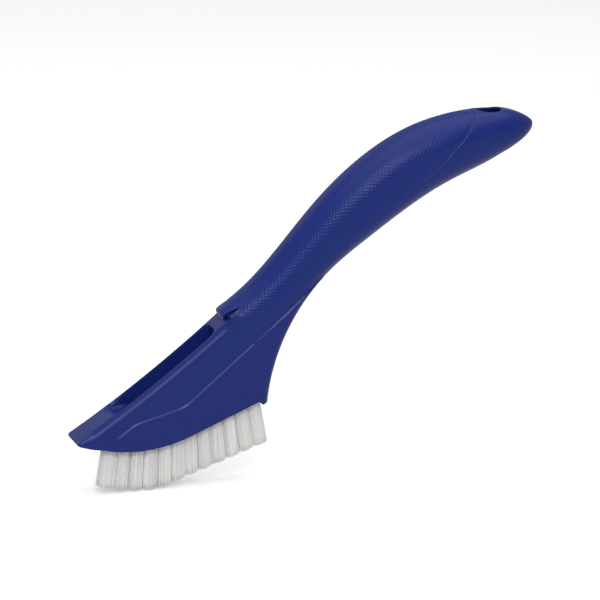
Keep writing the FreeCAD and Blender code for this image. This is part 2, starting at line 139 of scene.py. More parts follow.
class BodySettings(PropertyGroup):
    """Sizes and finish of the moulded body."""
    voxel: length("Mesh size", "Edge of the small cubes that the body is remeshed with", 0.3 * MM)
    edge_passes: IntProperty(name="Edge passes", default=3, min=0,
                             description="Smoothing passes that round every moulded edge")
    handle_passes: IntProperty(name="Handle passes", default=30, min=0,
                               description="Extra smoothing passes on the curved handle")
    face_limit: IntProperty(name="Triangle limit", default=190000, min=1000,
                            description="Most triangles that the finished body may have")
    rim_lift: length("Rim lift", "Height of the rim's crest above the plane it is cut to", 0.55 * MM)
    rim_slope: length("Rim slope", "Width of the slope on the rim, from its crest outwards", 2.2 * MM)
    rim_fall: length("Rim fall", "Depth that this slope falls by", 2.1 * MM)
    rim_ease: length("Rim ease", "Width over which the slope's lower edge is rounded", 1.7 * MM)
    nose_share: share("Nose share", "Share of the slope that is left at the nose", 0.25)
    ledge_height: length("Ledge height", "Height of the slanted ledge on the side panel", 1.0 * MM)
    ledge_step: length("Ledge step", "How far the ledge stands out from the wall above it", 0.62 * MM)
    ledge_fade: length("Ledge fade", "Distance over which it runs into the panel below", 4.0 * MM)
    notch_depth: length("Notch depth", "Depth of the recess behind the notch under the lip", 2.5 * MM)
    plastic: colour("Plastic", "Blue of the moulded plastic", linear(25, 42, 115))
    rubbed: colour("Rubbed edge", "Paler blue of edges that are rubbed", linear(48, 62, 135))
    # Painted shade: a darker blue mixed into the base colour deep inside the trough, where little light
    # reaches
    trough_shade: colour("Painted shade", "Dark blue deep inside the trough", linear(8, 14, 62))
    sole_drop: length("Sole drop", "Depth that the head's underside is let down by", 0.5 * MM)
    roughness: share("Roughness", "Mean roughness of the moulded surface", 0.30)


class GripSettings(PropertyGroup):
    """Sizes and finish of the soft grip."""
    period: length("Pattern period", "Distance between diamonds round the handle", 1.45 * MM)
    stretch: FloatProperty(name="Pattern stretch", default=1.3, min=0.1,
                           description="How much longer the diamonds are than wide")
    wander: share("Pattern wander", "How far the diamonds stray from their rows, in periods", 0.10)
    cells: IntProperty(name="Cells", default=6, min=4,
                       description="Mesh cells in one period of the pattern")
    relief: length("Relief", "Height of the diamonds above the mean surface", 0.085 * MM)
    wall: length("Wall", "Thickness of the grip", 1.9 * MM)
    lip: length("Lip", "Distance that the front lip reaches beyond the front of the CAD grip", 1.3 * MM)
    corner: length("Front corner", "Radius of the rounded front corner", 1.6 * MM)
    front_drop: length("Front face", "Depth of the upright front face below its corner", 1.2 * MM)
    seam_round: length("Seam round", "Width of the rounded edge along the rear seam", 1.0 * MM)
    seam_depth: length("Seam depth", "Depth of the groove along the rear seam", 0.13 * MM)
    notch_round: length("Notch round", "Radius of the edges round the notch under the lip", 0.5 * MM)
    bead: length("Bead", "Height of the bead along the lower edge of the lip", 0.3 * MM)
    lap: length("Lap", "Distance that the flush edges run out over the body before they dive", 1.1 * MM)
    proud: length("Proud", "Height of the grip above the body along that edge", 0.03 * MM)
    smooth_front: length("Smooth front", "Length behind the front before the pattern starts", 3.0 * MM)
    # Painted light and shade: the valleys are coloured darker and the diamond tops paler, standing in
    # for the shade and light on the relief
    valley_shade: colour("Valleys", "Darker blue between the diamonds", linear(15, 34, 106))
    top_light: colour("Lit tops", "Paler blue on the tops of the diamonds", linear(29, 49, 128))
    roughness: share("Roughness", "Mean roughness of the grip", 0.33)
    face_limit: IntProperty(name="Triangle limit", default=190000, min=1000,
                            description="Most triangles that the finished grip may have")


class TuftSettings(PropertyGroup):
    """Sizes and finish of the nylon tufts."""
    filament: length("Filament", "Diameter of one nylon filament", 0.34 * MM)
    count: IntProperty(name="Filaments", default=150, min=1,
                       description="Filaments in one tuft")
    sides: IntProperty(name="Sides", default=6, min=3, description="Sides of a filament's section")
    root_radius: length("Root radius", "Radius of the bundle inside its hole", 2.7 * MM)
    tip_radius: length("Tip radius", "Radius of the bundle at the trimmed tips", 3.4 * MM)
    hole_depth: length("Hole depth", "Length of the bundle that sits in its hole", 10.0 * MM)
    tip_scatter: length("Tip scatter", "Unevenness of the trimmed tips", 0.35 * MM)
    tip_dome: length("Tip dome", "How much shorter the outermost filaments of a tuft are", 0.3 * MM)
    tuft_scatter: length("Tuft scatter", "Most that a tuft is shorter than its trim line", 0.35 * MM)
    core_share: share("Core", "Radius of the packed inner filaments as a share of the bundle's", 0.84)
    side_scatter: length("Side scatter", "Sideways drift of a filament's tip", 0.14 * MM)
    gather: share("Gather", "Share of the way to the rows' middle that the tips lean over", 0.02)
    stray_share: share("Strays", "Share of the filaments that bend out of the bundle", 0.05)
    nylon: colour("Nylon", "Colour of the filaments", linear(251, 250, 247))
    shade: colour("Nylon shade", "Colour of the darker filaments", linear(243, 243, 242))
    roughness: share("Roughness", "Mean roughness of the filaments", 0.4)
    gloss_change: share("Gloss change", "How far the filaments' roughness changes either way", 0.08)


class StageSettings(PropertyGroup):
    """Camera, floor and light."""
    azimuth: angle("Azimuth", "Camera's turn round the brush from straight in front", -18.5)
    elevation: angle("Elevation", "Camera's height above the horizon", 14.3)
    distance: length("Distance", "Distance from the camera to the point that it looks at", 1.324)
    focal: FloatProperty(name="Focal length", default=199.3, min=1.0, unit="CAMERA",
                         description="Focal length of the camera's lens in millimetres")
    aim_height: length("Aim height", "Height of the point that the camera looks at", 70.0 * MM)
    aim_left: length("Aim left", "Shift of that point to the left in the picture", 1.64 * MM)
    aim_up: length("Aim up", "Shift of that point upwards in the picture", 0.93 * MM)
    floor_size: length("Floor size", "Side of the floor", 12.0)
    floor_gap: length("Floor gap", "Distance from the lowest tips down to the floor", 0.2 * MM)
    floor: colour("Floor", "Colour of the floor", (0.8, 0.8, 0.8))
    floor_lift: share("Floor lift", "Light that the floor adds where it is seen directly", 0.42)
    sky: colour("Room", "Colour of the light from all round", (1.0, 1.0, 1.0))
    sky_strength: share("Room light", "Strength of the light from all round", 0.32)


# Meshes


def link(name, mesh, slot_name, material, *nodes):
    """Puts a mesh in the scene as a piece of the body that stands for the CAD nodes named."""
    piece = bpy.data.objects.new(name, mesh)
    bpy.context.scene.collection.objects.link(piece)
    mesh.materials.clear()
    mesh.materials.append(material)
    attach(piece, "root")
    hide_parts(*nodes)
    return piece


def welded_copy(node):
    """A copy of a CAD node's mesh with its split corners joined, so that it is closed."""
    mesh = node.data.copy()
    shape = bmesh.new()
    shape.from_mesh(mesh)
    bmesh.ops.remove_doubles(shape, verts=shape.verts, dist=WELD)
    shape.to_mesh(mesh)
    shape.free()
    return mesh


def with_modifiers(mesh, *modifiers, group=None):
    """The mesh after these modifiers, each a kind and its settings. Group is (name, weights)."""
    holder = bpy.data.objects.new("holder", mesh)
    bpy.context.scene.collection.objects.link(holder)
    if group:
        made_group = holder.vertex_groups.new(name=group[0])
        for index, weight in enumerate(group[1]):
            if weight > 0.0:
                made_group.add([index], weight, "REPLACE")
    for kind, settings in modifiers:
        modifier = holder.modifiers.new(kind.title(), kind)
        for key, value in settings.items():
            setattr(modifier, key, value)
    graph = bpy.context.evaluated_depsgraph_get()
    made = bpy.data.meshes.new_from_object(holder.evaluated_get(graph))
    bpy.data.objects.remove(holder)
    return made


def points_of(mesh):
    """The mesh's points as an array."""
    flat = np.zeros(len(mesh.vertices) * 3, np.float32)
    mesh.vertices.foreach_get("co", flat)
    return flat.reshape(-1, 3).astype(float)


def smoothstep(low, high, value):
    """0 below low, 1 above high and an even curve between them."""
    t = np.clip((value - low) / (high - low), 0.0, 1.0)
    return t * t * (3 - 2 * t)


def bent_path(corners, radius, step=0.5 * MM, bend_points=9):
    """Points along a run of straight lines whose corners are rounded with a radius."""
    corners = [np.array(corner) for corner in corners]
    marks = [corners[0]]
    for before, corner, after in zip(corners, corners[1:], corners[2:]):
        ahead = (corner - before) / np.linalg.norm(corner - before)
        behind = (after - corner) / np.linalg.norm(after - corner)
        turn = math.acos(float(ahead @ behind))
        reach = radius * math.tan(turn / 2)
        start, end = corner - ahead * reach, corner + behind * reach
        for t in np.linspace(0, 1, bend_points):
            marks.append((1 - t) ** 2 * start + 2 * t * (1 - t) * corner + t ** 2 * end)
    marks = np.array(marks + [corners[-1]])
    along = np.concatenate([[0], np.cumsum(np.linalg.norm(np.diff(marks, axis=0), axis=1))])
    places = np.linspace(0, along[-1], int(along[-1] / step))
    return np.stack([np.interp(places, along, marks[:, k]) for k in range(2)], axis=1)


def outside(corners, x, y):
    """Distance of places from a flat outline, above zero outside it."""
    corners = np.array(corners)
    x, y = np.broadcast_arrays(x, y)
    nearest = np.full(np.shape(x), np.inf)
    within = np.zeros(np.shape(x), bool)
    for (ax, ay), (bx, by) in zip(corners, np.roll(corners, -1, axis=0)):
        span = (bx - ax) ** 2 + (by - ay) ** 2
        t = np.clip(((x - ax) * (bx - ax) + (y - ay) * (by - ay)) / span, 0.0, 1.0)
        nearest = np.minimum(nearest, np.hypot(x - ax - t * (bx - ax), y - ay - t * (by - ay)))
        if ay != by:
            crosses = (ay > y) != (by > y)
            within ^= crosses & (x < ax + (y - ay) * (bx - ax) / (by - ay))
    return np.where(within, -nearest, nearest)


def triangles(mesh):
    """Number of triangles that the mesh's faces make."""
    return sum(len(face.vertices) - 2 for face in mesh.polygons)


class HandleLine:
    """The handle's middle line, measured along its length, with its directions."""

    SAMPLES = 2000
    DIRECTION_STEPS = 400
    CHUNK = 500

    def __init__(self):
        corners = np.array(HANDLE_LINE)
        t = np.linspace(0, 1, self.SAMPLES)[:, None]
        weights = np.hstack([(1 - t) ** 3, 3 * (1 - t) ** 2 * t, 3 * (1 - t) * t ** 2, t ** 3])
        self.points = weights @ corners
        steps = np.linalg.norm(np.diff(self.points, axis=0), axis=1)
        self.lengths = np.concatenate([[0], np.cumsum(steps)])
        self.total = self.lengths[-1]

    def at(self, s):
        """Point and upward normal, both in XYZ, at a distance s along the line."""
        s = np.asarray(s, float)
        step = self.total / self.DIRECTION_STEPS
        (x, z), after, before = (
            [np.interp(spot, self.lengths, self.points[:, k]) for k in range(2)]
            for spot in (s, s + step, s - step))
        dx, dz = after[0] - before[0], after[1] - before[1]
        size = np.hypot(dx, dz)
        zero = np.zeros_like(x)
        point = np.stack([x, zero, z], axis=-1)
        normal = np.stack([-dz / size, zero, dx / size], axis=-1)
        return point, normal

    def nearest(self, points):
        """Distance along the line of the place nearest to each point."""
        found = []
        for chunk in np.array_split(points[:, [0, 2]], max(1, len(points) // self.CHUNK)):
            gaps = np.linalg.norm(chunk[:, None] - self.points[None], axis=2)
            found.append(self.lengths[gaps.argmin(axis=1)])
        return np.concatenate(found)


class GripSurface:
    """The outer surface of the handle where the grip lies, as a smooth function of the distance
    along the handle's middle line and the angle from its ridge."""

    # Where the surface is read: step along the line, largest angle and number of angles, where the
    # rays start, and the gap at which the grip counts as flush with the body
    ROW_STEP = 0.8 * MM
    ANGLE_LIMIT = math.radians(165)
    ANGLE_COUNT = 166
    REACH = 40 * MM
    TOUCH = 0.01 * MM
    # Highest term of the fit along the line and round it, and the angle that it goes beyond the edge
    LINE_TERMS = 10
    ANGLE_TERMS = 8
    MARGIN = math.radians(13)

    def __init__(self):
        self.line = HandleLine()
        grip = welded_copy(NODES["soft_grip"])
        along = self.line.nearest(points_of(grip))
        self.front = along.min()
        self.rear = along.max()
        self.measure(tree_of(grip), tree_of(NODES["brush_body"].data))

    def measure(self, grip_tree, body_tree):
        """Reads the radius at many places on the grip and a little beyond its edge with rays from
        outside, then fits the smooth surface."""
        rows = np.arange(self.front + self.ROW_STEP, self.rear, self.ROW_STEP)
        angles = np.linspace(0, self.ANGLE_LIMIT, self.ANGLE_COUNT)
        radius = np.full((len(rows), len(angles)), np.nan)
        on_grip = np.zeros((len(rows), len(angles)), bool)
        points, normals = self.line.at(rows)
        for i in range(len(rows)):
            for k, turn in enumerate(angles):
                way = math.cos(turn) * normals[i] + math.sin(turn) * np.array([0, 1, 0])
                start = Vector(points[i] + self.REACH * way)
                grip_gap = grip_tree.ray_cast(start, Vector(-way), self.REACH)[3]
                body_gap = body_tree.ray_cast(start, Vector(-way), self.REACH)[3]
                if grip_gap is not None and (body_gap is None or grip_gap < body_gap + self.TOUCH):
                    radius[i, k] = self.REACH - grip_gap
                    on_grip[i, k] = True
                elif body_gap is not None:
                    radius[i, k] = self.REACH - body_gap
        reach = np.where(on_grip, angles[None, :], -1.0).max(axis=1)
        kept = reach >= 0
        beside = (angles[None, :] > reach[:, None]) & (angles[None, :] < reach[:, None] + self.MARGIN)
        used = on_grip | (beside & kept[:, None] & np.isfinite(radius))
        self.edge_rows = rows[kept]
        self.edge_angles = reach[kept]
        fit_row, fit_angle = np.nonzero(used)
        table = self.terms(rows[fit_row], angles[fit_angle])
        self.weights = np.linalg.lstsq(table, radius[fit_row, fit_angle], rcond=None)[0]

    def terms(self, s, turn):
        """The smooth terms that add up to the radius, one row for each place."""
        place = 2 * (np.asarray(s) - self.front) / (self.rear - self.front) - 1
        along = np.polynomial.chebyshev.chebvander(place, self.LINE_TERMS)
        around = np.cos(np.asarray(turn)[:, None] * np.arange(self.ANGLE_TERMS + 1)[None, :])
        return (along[:, :, None] * around[:, None, :]).reshape(len(place), -1)

    def radius(self, s, turn):
        """Radius of the surface from the middle line."""
        s, turn = np.broadcast_arrays(np.clip(s, self.front, None), turn)
        return (self.terms(s.ravel(), np.abs(turn.ravel())) @ self.weights).reshape(s.shape)

    def place(self, s, turn, drop=0.0):
        """Points of the surface, sunk towards the middle line by drop."""
        s, turn = np.broadcast_arrays(s, turn)
        point, normal = self.line.at(s)
        way = np.cos(turn)[..., None] * normal + np.sin(turn)[..., None] * np.array([0.0, 1.0, 0.0])
        return point + (self.radius(s, turn) - drop)[..., None] * way


def tree_of(mesh):
    """A search tree over the mesh's triangles."""
    mesh.calc_loop_triangles()
    return BVHTree.FromPolygons([v.co for v in mesh.vertices],
                                [t.vertices for t in mesh.loop_triangles])


# Finishes


def place(tree, kind, inputs=None, **settings):
    """Adds a node, sets its settings, and sets or links its inputs by name or number."""
    made = tree.nodes.new(kind)
    for key, value in settings.items():
        setattr(made, key, value)
    for key, value in (inputs or {}).items():
        socket = made.inputs[key]
        if isinstance(value, bpy.types.NodeSocket):
            tree.links.new(value, socket)
        else:
            socket.default_value = value
    return made


def new_group(name, inputs, outputs):
    """An empty shader node group with named sockets, its entry node and its exit node."""
    group = bpy.data.node_groups.new(name, "ShaderNodeTree")
    for label, default in inputs.items():
        kind = "NodeSocketVector" if isinstance(default, tuple) else "NodeSocketFloat"
        socket = group.interface.new_socket(label, in_out="INPUT", socket_type=kind)
        socket.default_value = default
    for label in outputs:
        group.interface.new_socket(label, in_out="OUTPUT", socket_type="NodeSocketFloat")
    return group, group.nodes.new("NodeGroupInput"), group.nodes.new("NodeGroupOutput")


def mould_grain_group():
    """Fine grain that a moulded surface takes from its mould, and a slow drift over it."""
    if "mould_grain" in bpy.data.node_groups:
        return bpy.data.node_groups["mould_grain"]
    group, enter, leave = new_group(
        "mould_grain", {"Grain Scale": BODY_GRAIN[0], "Drift Scale": 60.0}, ["Height", "Drift"])
    where = place(group, "ShaderNodeTexCoord").outputs["Object"]
    grain = place(group, "ShaderNodeTexNoise",
                  {"Vector": where, "Scale": enter.outputs["Grain Scale"], "Detail": 3.0,
                   "Roughness": 0.55})
    drift = place(group, "ShaderNodeTexNoise",
                  {"Vector": where, "Scale": enter.outputs["Drift Scale"], "Detail": 4.0,
                   "Roughness": 0.6})
    group.links.new(grain.outputs["Fac"], leave.inputs["Height"])
    group.links.new(drift.outputs["Fac"], leave.inputs["Drift"])
    return group


def rubbed_edge_group():
    """A mask that is high on outer edges, broken up so that the rubbing looks uneven."""
    if "rubbed_edge" in bpy.data.node_groups:
        return bpy.data.node_groups["rubbed_edge"]
    group, enter, leave = new_group(
        "rubbed_edge", {"Start": 0.52, "End": 0.62, "Patch Scale": 400.0}, ["Mask"])
    edge = place(group, "ShaderNodeNewGeometry").outputs["Pointiness"]
    rise = place(group, "ShaderNodeMapRange",
                 {"Value": edge, "From Min": enter.outputs["Start"], "From Max": enter.outputs["End"]})
    where = place(group, "ShaderNodeTexCoord").outputs["Object"]
    patch = place(group, "ShaderNodeTexNoise",
                  {"Vector": where, "Scale": enter.outputs["Patch Scale"], "Detail": 2.0})
    mask = place(group, "ShaderNodeMath", {0: rise.outputs["Result"], 1: patch.outputs["Fac"]},
                 operation="MULTIPLY")
    group.links.new(mask.outputs["Value"], leave.inputs["Mask"])
    return group


def recess_shade_group():
    """A mask for painted shade: high deep inside a recess, where little light reaches, broken up a
    little.
    """
    if "recess" in bpy.data.node_groups:
        return bpy.data.node_groups["recess"]
    group, enter, leave = new_group(
        "recess", {"Reach": 0.012, "Open": 0.75, "Closed": 0.4, "Patch Scale": 150.0}, ["Mask"])
    sky = place(group, "ShaderNodeAmbientOcclusion", {"Distance": enter.outputs["Reach"]}, samples=8)
    rise = place(group, "ShaderNodeMapRange",
                 {"Value": sky.outputs["AO"], "From Min": enter.outputs["Open"],
                  "From Max": enter.outputs["Closed"]})
    where = place(group, "ShaderNodeTexCoord").outputs["Object"]
    patch = place(group, "ShaderNodeTexNoise",
                  {"Vector": where, "Scale": enter.outputs["Patch Scale"], "Detail": 2.0})
    uneven = spread(group, patch.outputs["Fac"], 0.8, 1.0)
    mask = place(group, "ShaderNodeMath", {0: rise.outputs["Result"], 1: uneven}, operation="MULTIPLY")
    group.links.new(mask.outputs["Value"], leave.inputs["Mask"])
    return group


def streaks_group():
    """Streaks from 0 to 1 that run along the axis whose stretch is small."""
    if "streaks" in bpy.data.node_groups:
        return bpy.data.node_groups["streaks"]
    group, enter, leave = new_group(
        "streaks", {"Stretch": (1.0, 1.0, 1.0), "Scale": 1000.0, "Detail": 2.0}, ["Streak"])
    where = place(group, "ShaderNodeTexCoord").outputs["Object"]
    drawn = place(group, "ShaderNodeMapping", {"Vector": where, "Scale": enter.outputs["Stretch"]})
    noise = place(group, "ShaderNodeTexNoise",
                  {"Vector": drawn.outputs["Vector"], "Scale": enter.outputs["Scale"],
                   "Detail": enter.outputs["Detail"]})
    group.links.new(noise.outputs["Fac"], leave.inputs["Streak"])
    return group


def new_material(name):
    """A material with only a Principled shader and its output."""
    material = bpy.data.materials.new(name)
    material.use_nodes = True
    shader = material.node_tree.nodes["Principled BSDF"]
    return material, material.node_tree, shader


def mixed(tree, mask, first, second):
    """A colour that goes from first to second with a mask. Both are plain colours or sockets."""
    mix = place(tree, "ShaderNodeMix", {"Factor": mask}, data_type="RGBA")
    for key, tone in (("A", first), ("B", second)):
        if isinstance(tone, bpy.types.NodeSocket):
            tree.links.new(tone, mix.inputs[key])
        else:
            mix.inputs[key].default_value = (*tone, 1.0)
    return mix.outputs["Result"]


def spread(tree, value, low, high):
    """A value from 0 to 1 spread between low and high."""
    ranged = place(tree, "ShaderNodeMapRange", {"Value": value, "To Min": low, "To Max": high})
    return ranged.outputs["Result"]


def grained(tree, shader, scale, depth):
    """Puts the mould's grain on a blue moulding and returns its group node."""
    grain = place(tree, "ShaderNodeGroup", node_tree=mould_grain_group())
    grain.inputs["Grain Scale"].default_value = scale
    bump = place(tree, "ShaderNodeBump",
                 {"Height": grain.outputs["Height"], "Strength": 1.0, "Distance": depth})
    tree.links.new(bump.outputs["Normal"], shader.inputs["Normal"])
    shader.inputs["Specular IOR Level"].default_value = SHEEN
    return grain


def body_finish(settings):
    """Blue moulded plastic: fine grain, uneven gloss, rubbed edges and painted shade deep in the
    recesses.
    """
    material, tree, shader = new_material("body_plastic_finish")
    grain = grained(tree, shader, *BODY_GRAIN)
    edge = place(tree, "ShaderNodeGroup", node_tree=rubbed_edge_group())
    recess = place(tree, "ShaderNodeGroup", node_tree=recess_shade_group())
    unshaded = mixed(tree, edge.outputs["Mask"], settings.plastic, settings.rubbed)
    # Painted shade: the darker blue goes where the recess mask finds the surface hemmed in
    tone = mixed(tree, recess.outputs["Mask"], unshaded, settings.trough_shade)
    tree.links.new(tone, shader.inputs["Base Color"])
    gloss = spread(tree, grain.outputs["Drift"], settings.roughness - GLOSS_CHANGE,
                   settings.roughness + GLOSS_CHANGE)
    tree.links.new(gloss, shader.inputs["Roughness"])
    return material


def grip_finish(settings):
    """Soft blue rubber: valleys of the raised pattern painted darker and its tops painted paler as
    shade and light on the relief, with smoother tops and duller valleys.
    """
    material, tree, shader = new_material("grip_rubber_finish")
    grained(tree, shader, *GRIP_GRAIN)
    relief = place(tree, "ShaderNodeAttribute", attribute_name=RELIEF).outputs["Fac"]
    # Painted light and shade on the pattern, taken from its height
    tree.links.new(mixed(tree, relief, settings.valley_shade, settings.top_light), shader.inputs["Base Color"])
    gloss = spread(tree, relief, settings.roughness + GLOSS_CHANGE, settings.roughness - GLOSS_CHANGE)
    tree.links.new(gloss, shader.inputs["Roughness"])
    return material


def nylon_finish(settings):
    """Greyish white nylon, with the shade changing a little from filament to filament."""
    material, tree, shader = new_material("bristle_nylon_finish")
    streak = place(tree, "ShaderNodeGroup",
                   {"Stretch": (1.0, 1.0, 0.04), "Scale": 1800.0, "Detail": 2.0},
                   node_tree=streaks_group()).outputs["Streak"]
    tree.links.new(mixed(tree, streak, settings.shade, settings.nylon), shader.inputs["Base Color"])
    gloss = spread(tree, streak, settings.roughness - settings.gloss_change,
                   settings.roughness + settings.gloss_change)
    tree.links.new(gloss, shader.inputs["Roughness"])
    return material


def anchor_finish():
    """Drawn steel strip, brushed along its length."""
    material, tree, shader = new_material("anchor_steel_finish")
    brushed = place(tree, "ShaderNodeGroup",
                    {"Stretch": (1.0, 0.05, 1.0), "Scale": 9000.0, "Detail": 3.0},
                    node_tree=streaks_group()).outputs["Streak"]
    tree.links.new(mixed(tree, brushed, *STEEL), shader.inputs["Base Color"])
    tree.links.new(spread(tree, brushed, *STEEL_GLOSS), shader.inputs["Roughness"])
    shader.inputs["Metallic"].default_value = 1.0
    return material


def floor_finish(settings):
    """Pale floor that takes the brush's shadow and looks white to the camera elsewhere."""
    material, tree, shader = new_material("floor_finish")
    shader.inputs["Base Color"].default_value = (*settings.floor, 1.0)
    shader.inputs["Roughness"].default_value = 1.0
    shader.inputs["Specular IOR Level"].default_value = 0.0
    ray = place(tree, "ShaderNodeLightPath")
    seen = place(tree, "ShaderNodeMath",
                 {0: ray.outputs["Is Camera Ray"], 1: ray.outputs["Is Transmission Ray"]},
                 operation="MAXIMUM")
    shader.inputs["Emission Color"].default_value = (1.0, 1.0, 1.0, 1.0)
    lift = place(tree, "ShaderNodeMath", {0: seen.outputs["Value"], 1: settings.floor_lift},
                 operation="MULTIPLY")
    tree.links.new(lift.outputs["Value"], shader.inputs["Emission Strength"])
    return material


# Pieces


class BRUSH_OT_body(Operator):
    """Remesh the moulded body with its panel ledges, sloping rim and every edge eased"""
    bl_idname = "grout_brush.body"
    bl_label = "Make the body"

    # Strength of a smoothing pass, and where the handle's own passes start and are full along X
    SMOOTHING = 0.5
    HANDLE_START = -4.0 * MM
    HANDLE_FULL = 5.0 * MM
    # Where rays start beside the body, and above or below it
    REACH = 40.0 * MM
    CEILING = 0.2
    # Ledge: depth of its root in the wall, a hair's breadth below the surface, the lengths over which
    # its front and rear ends run out, and the steps in which its foot is looked for
    ROOT = 1.2 * MM
    SINK = 0.03 * MM
    TAPER = 6.0 * MM
    TAIL = 12.0 * MM
    FADE_STEPS = 10
    # Rim: where it is read across and along the head, how far it runs under the grip, the length over
    # which its crest grows, the depth that moves with it, the least share of its slope, the halvings
    # in the search for how far a point moves, and how near its middle the head's width is read
    RIM_TRACK = 7.6 * MM
    RIM_STEP = 0.5 * MM
    RIM_LAP = 6.0 * MM
    RIM_GROWTH = 7.0 * MM
    SKIN = 5.0 * MM
    LEAST_SLOPE = 0.03
    HALVINGS = 24
    WIDTH_ZONE = 6.0 * MM
    # Notch: the part of the body it can lie in (before X, above Z), its eased edge and where it starts
    NOTCH_ZONE = (-0.018, 0.060)
    NOTCH_EASE = 0.6 * MM
    NOTCH_START = 0.2 * MM

    def execute(self, context):
        settings = context.scene.brush_body
        blank = self.with_ledges(settings, welded_copy(NODES["brush_body"]))
        raw = with_modifiers(blank, ("REMESH", {"mode": "VOXEL", "voxel_size": settings.voxel}))
        points = points_of(raw)
        points = self.shaped_rim(settings, points)
        points = self.dropped_sole(settings, points)
        points = self.recessed_notch(settings, points)
        raw.vertices.foreach_set("co", points.astype(np.float32).ravel())
        weights = smoothstep(self.HANDLE_START, self.HANDLE_FULL, points[:, 0])
        ratio = min(1.0, settings.face_limit / triangles(raw))
        mesh = with_modifiers(
            raw,
            ("SMOOTH", {"factor": self.SMOOTHING, "iterations": settings.edge_passes}),
            ("SMOOTH", {"factor": self.SMOOTHING, "iterations": settings.handle_passes,
                        "vertex_group": "handle"}),
            ("DECIMATE", {"ratio": ratio}),
            group=("handle", weights))
        mesh.shade_smooth()
        link("moulded_body", mesh, "body_plastic", body_finish(settings), "brush_body")
        return {"FINISHED"}

    def with_ledges(self, settings, mesh):
        """The body's mesh with a slanted ledge added along the top of each side panel."""
        trees = [tree_of(NODES[name].data) for name in ("brush_body", "soft_grip")]
        shape = bmesh.new()
        shape.from_mesh(mesh)
        path = bent_path(LEDGE_LINE, LEDGE_BEND)
        for side in (-1, 1):
            rings = []
            for k, (x, z) in enumerate(path):
                section, up = self.ledge_section(settings, trees, path, k, side)
                rings.append([shape.verts.new((x + d * up[0], side * y, z + d * up[1]))
                              for d, y in section])
            for first, second in zip(rings, rings[1:]):
                for n in range(len(first)):
                    after = (n + 1) % len(first)
                    shape.faces.new((first[n], first[after], second[after], second[n]))
            shape.faces.new(rings[0])
            shape.faces.new(reversed(rings[-1]))
        bmesh.ops.recalc_face_normals(shape, faces=shape.faces)
        shape.to_mesh(mesh)
        shape.free()
        return mesh

    def ledge_section(self, settings, trees, path, k, side):
        """Corners of the ledge across its path: distance up from the path and from the middle plane."""
        ahead = path[min(k + 1, len(path) - 1)] - path[max(k - 1, 0)]
        up = np.array([-ahead[1], ahead[0]]) / np.linalg.norm(ahead)
        room = np.linalg.norm(path[[0, -1]] - path[k], axis=1)
        grow = float(smoothstep(0.0, self.TAPER, room[0]) * smoothstep(0.0, self.TAIL, room[1]))
        above = self.wall(trees, path[k] + up * settings.ledge_height, side)
        foot, below = 0.0, above
        for reach in np.linspace(settings.ledge_fade, 0.0, self.FADE_STEPS):
            found = self.wall(trees, path[k] - up * reach, side)
            if found > above - self.ROOT / 4:
                foot, below = max(reach, self.SINK), found
                break
        section = ((settings.ledge_height, above - self.ROOT),
                   (settings.ledge_height, above - self.SINK),
                   (0.0, above + settings.ledge_step * grow),
                   (-foot, below - self.SINK),
                   (-foot, above - self.ROOT))
        return section, up

    def wall(self, trees, spot, side):
        """Distance from the middle plane to the outer wall at a place in the XZ plane."""
        start = Vector((spot[0], side * self.REACH, spot[1]))
        gaps = [tree.ray_cast(start, Vector((0.0, -side, 0.0)), self.REACH)[3] for tree in trees]
        gaps = [gap for gap in gaps if gap is not None]
        return self.REACH - min(gaps) if gaps else 0.0

    def shaped_rim(self, settings, points):
        """The points with the rim raised to a crest that slopes outwards, less so at the nose, with
        the scoop in front of the trough deepened and the trough's end wall leaning back."""
        tree = tree_of(NODES["brush_body"].data)
        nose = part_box("brush_body")[0][0]
        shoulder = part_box("soft_grip")[0][0] + self.RIM_LAP
        hits = [tree.ray_cast(Vector((x, self.RIM_TRACK, self.CEILING)), Vector((0.0, 0.0, -1.0)))[0]
                for x in np.arange(nose + self.SINK, shoulder, self.RIM_STEP)]
        rim_x, rim_z = np.array([(hit.x, hit.z) for hit in hits if hit]).T
        slope = np.gradient(rim_z, rim_x)
        moved = points.copy()
        x, y, z = moved.T
        level = np.interp(x, rim_x, rim_z) + np.minimum(x - rim_x[0], 0.0) * slope[1]
        lean = np.interp(x, rim_x, np.cos(np.arctan(slope)))
        grow = smoothstep(0.0, self.RIM_GROWTH, x - nose)
        fade = 1 - smoothstep(shoulder - self.RIM_LAP, shoulder, x)
        size = (settings.nose_share + (1 - settings.nose_share) * grow) * fade
        size = np.maximum(size, self.LEAST_SLOPE)
        skin = (level - z < self.SKIN) & (x < shoulder)
        floor = np.interp(x, SCOOP_X, SCOOP_Z) + SCOOP_BOWL * (np.abs(y) / SCOOP_HALF) ** SCOOP_POWER
        scooped = skin & (x > SCOOP_X[0]) & (x < SCOOP_X[-1]) & (np.abs(y) < SCOOP_HALF) & (z > floor)
        z[scooped] = floor[scooped]
        inner = (np.abs(y) < TROUGH_HALF) & (x > TROUGH_END[0]) & (x < TROUGH_END[1])
        inner &= level - z < TROUGH_FLOOR
        lean_back = TROUGH_LEAN * np.clip(level - z, 0.0, TROUGH_DEEP) * smoothstep(*TROUGH_END, x)
        x += np.where(inner, lean_back, 0.0)
        lift = settings.rim_lift * fade * grow * smoothstep(self.SKIN, 0.0, level - z) * ~scooped
        z += np.where(x < shoulder, lift, 0.0)
        level = level + settings.rim_lift * fade * grow
        half = self.half_width(points, rim_x, rim_z)
        inset = half - np.abs(y)
        depth = (level - z) * lean
        near = skin & (fade > 0) & ~scooped
        near &= (inset < 2 * settings.rim_slope) & (inset > -self.RIM_STEP)
        shift = np.zeros(len(x))
        shift[near] = self.shift_inside(settings, inset[near], depth[near], size[near])
        y -= np.sign(y) * shift
        z -= shift / lean
        return moved

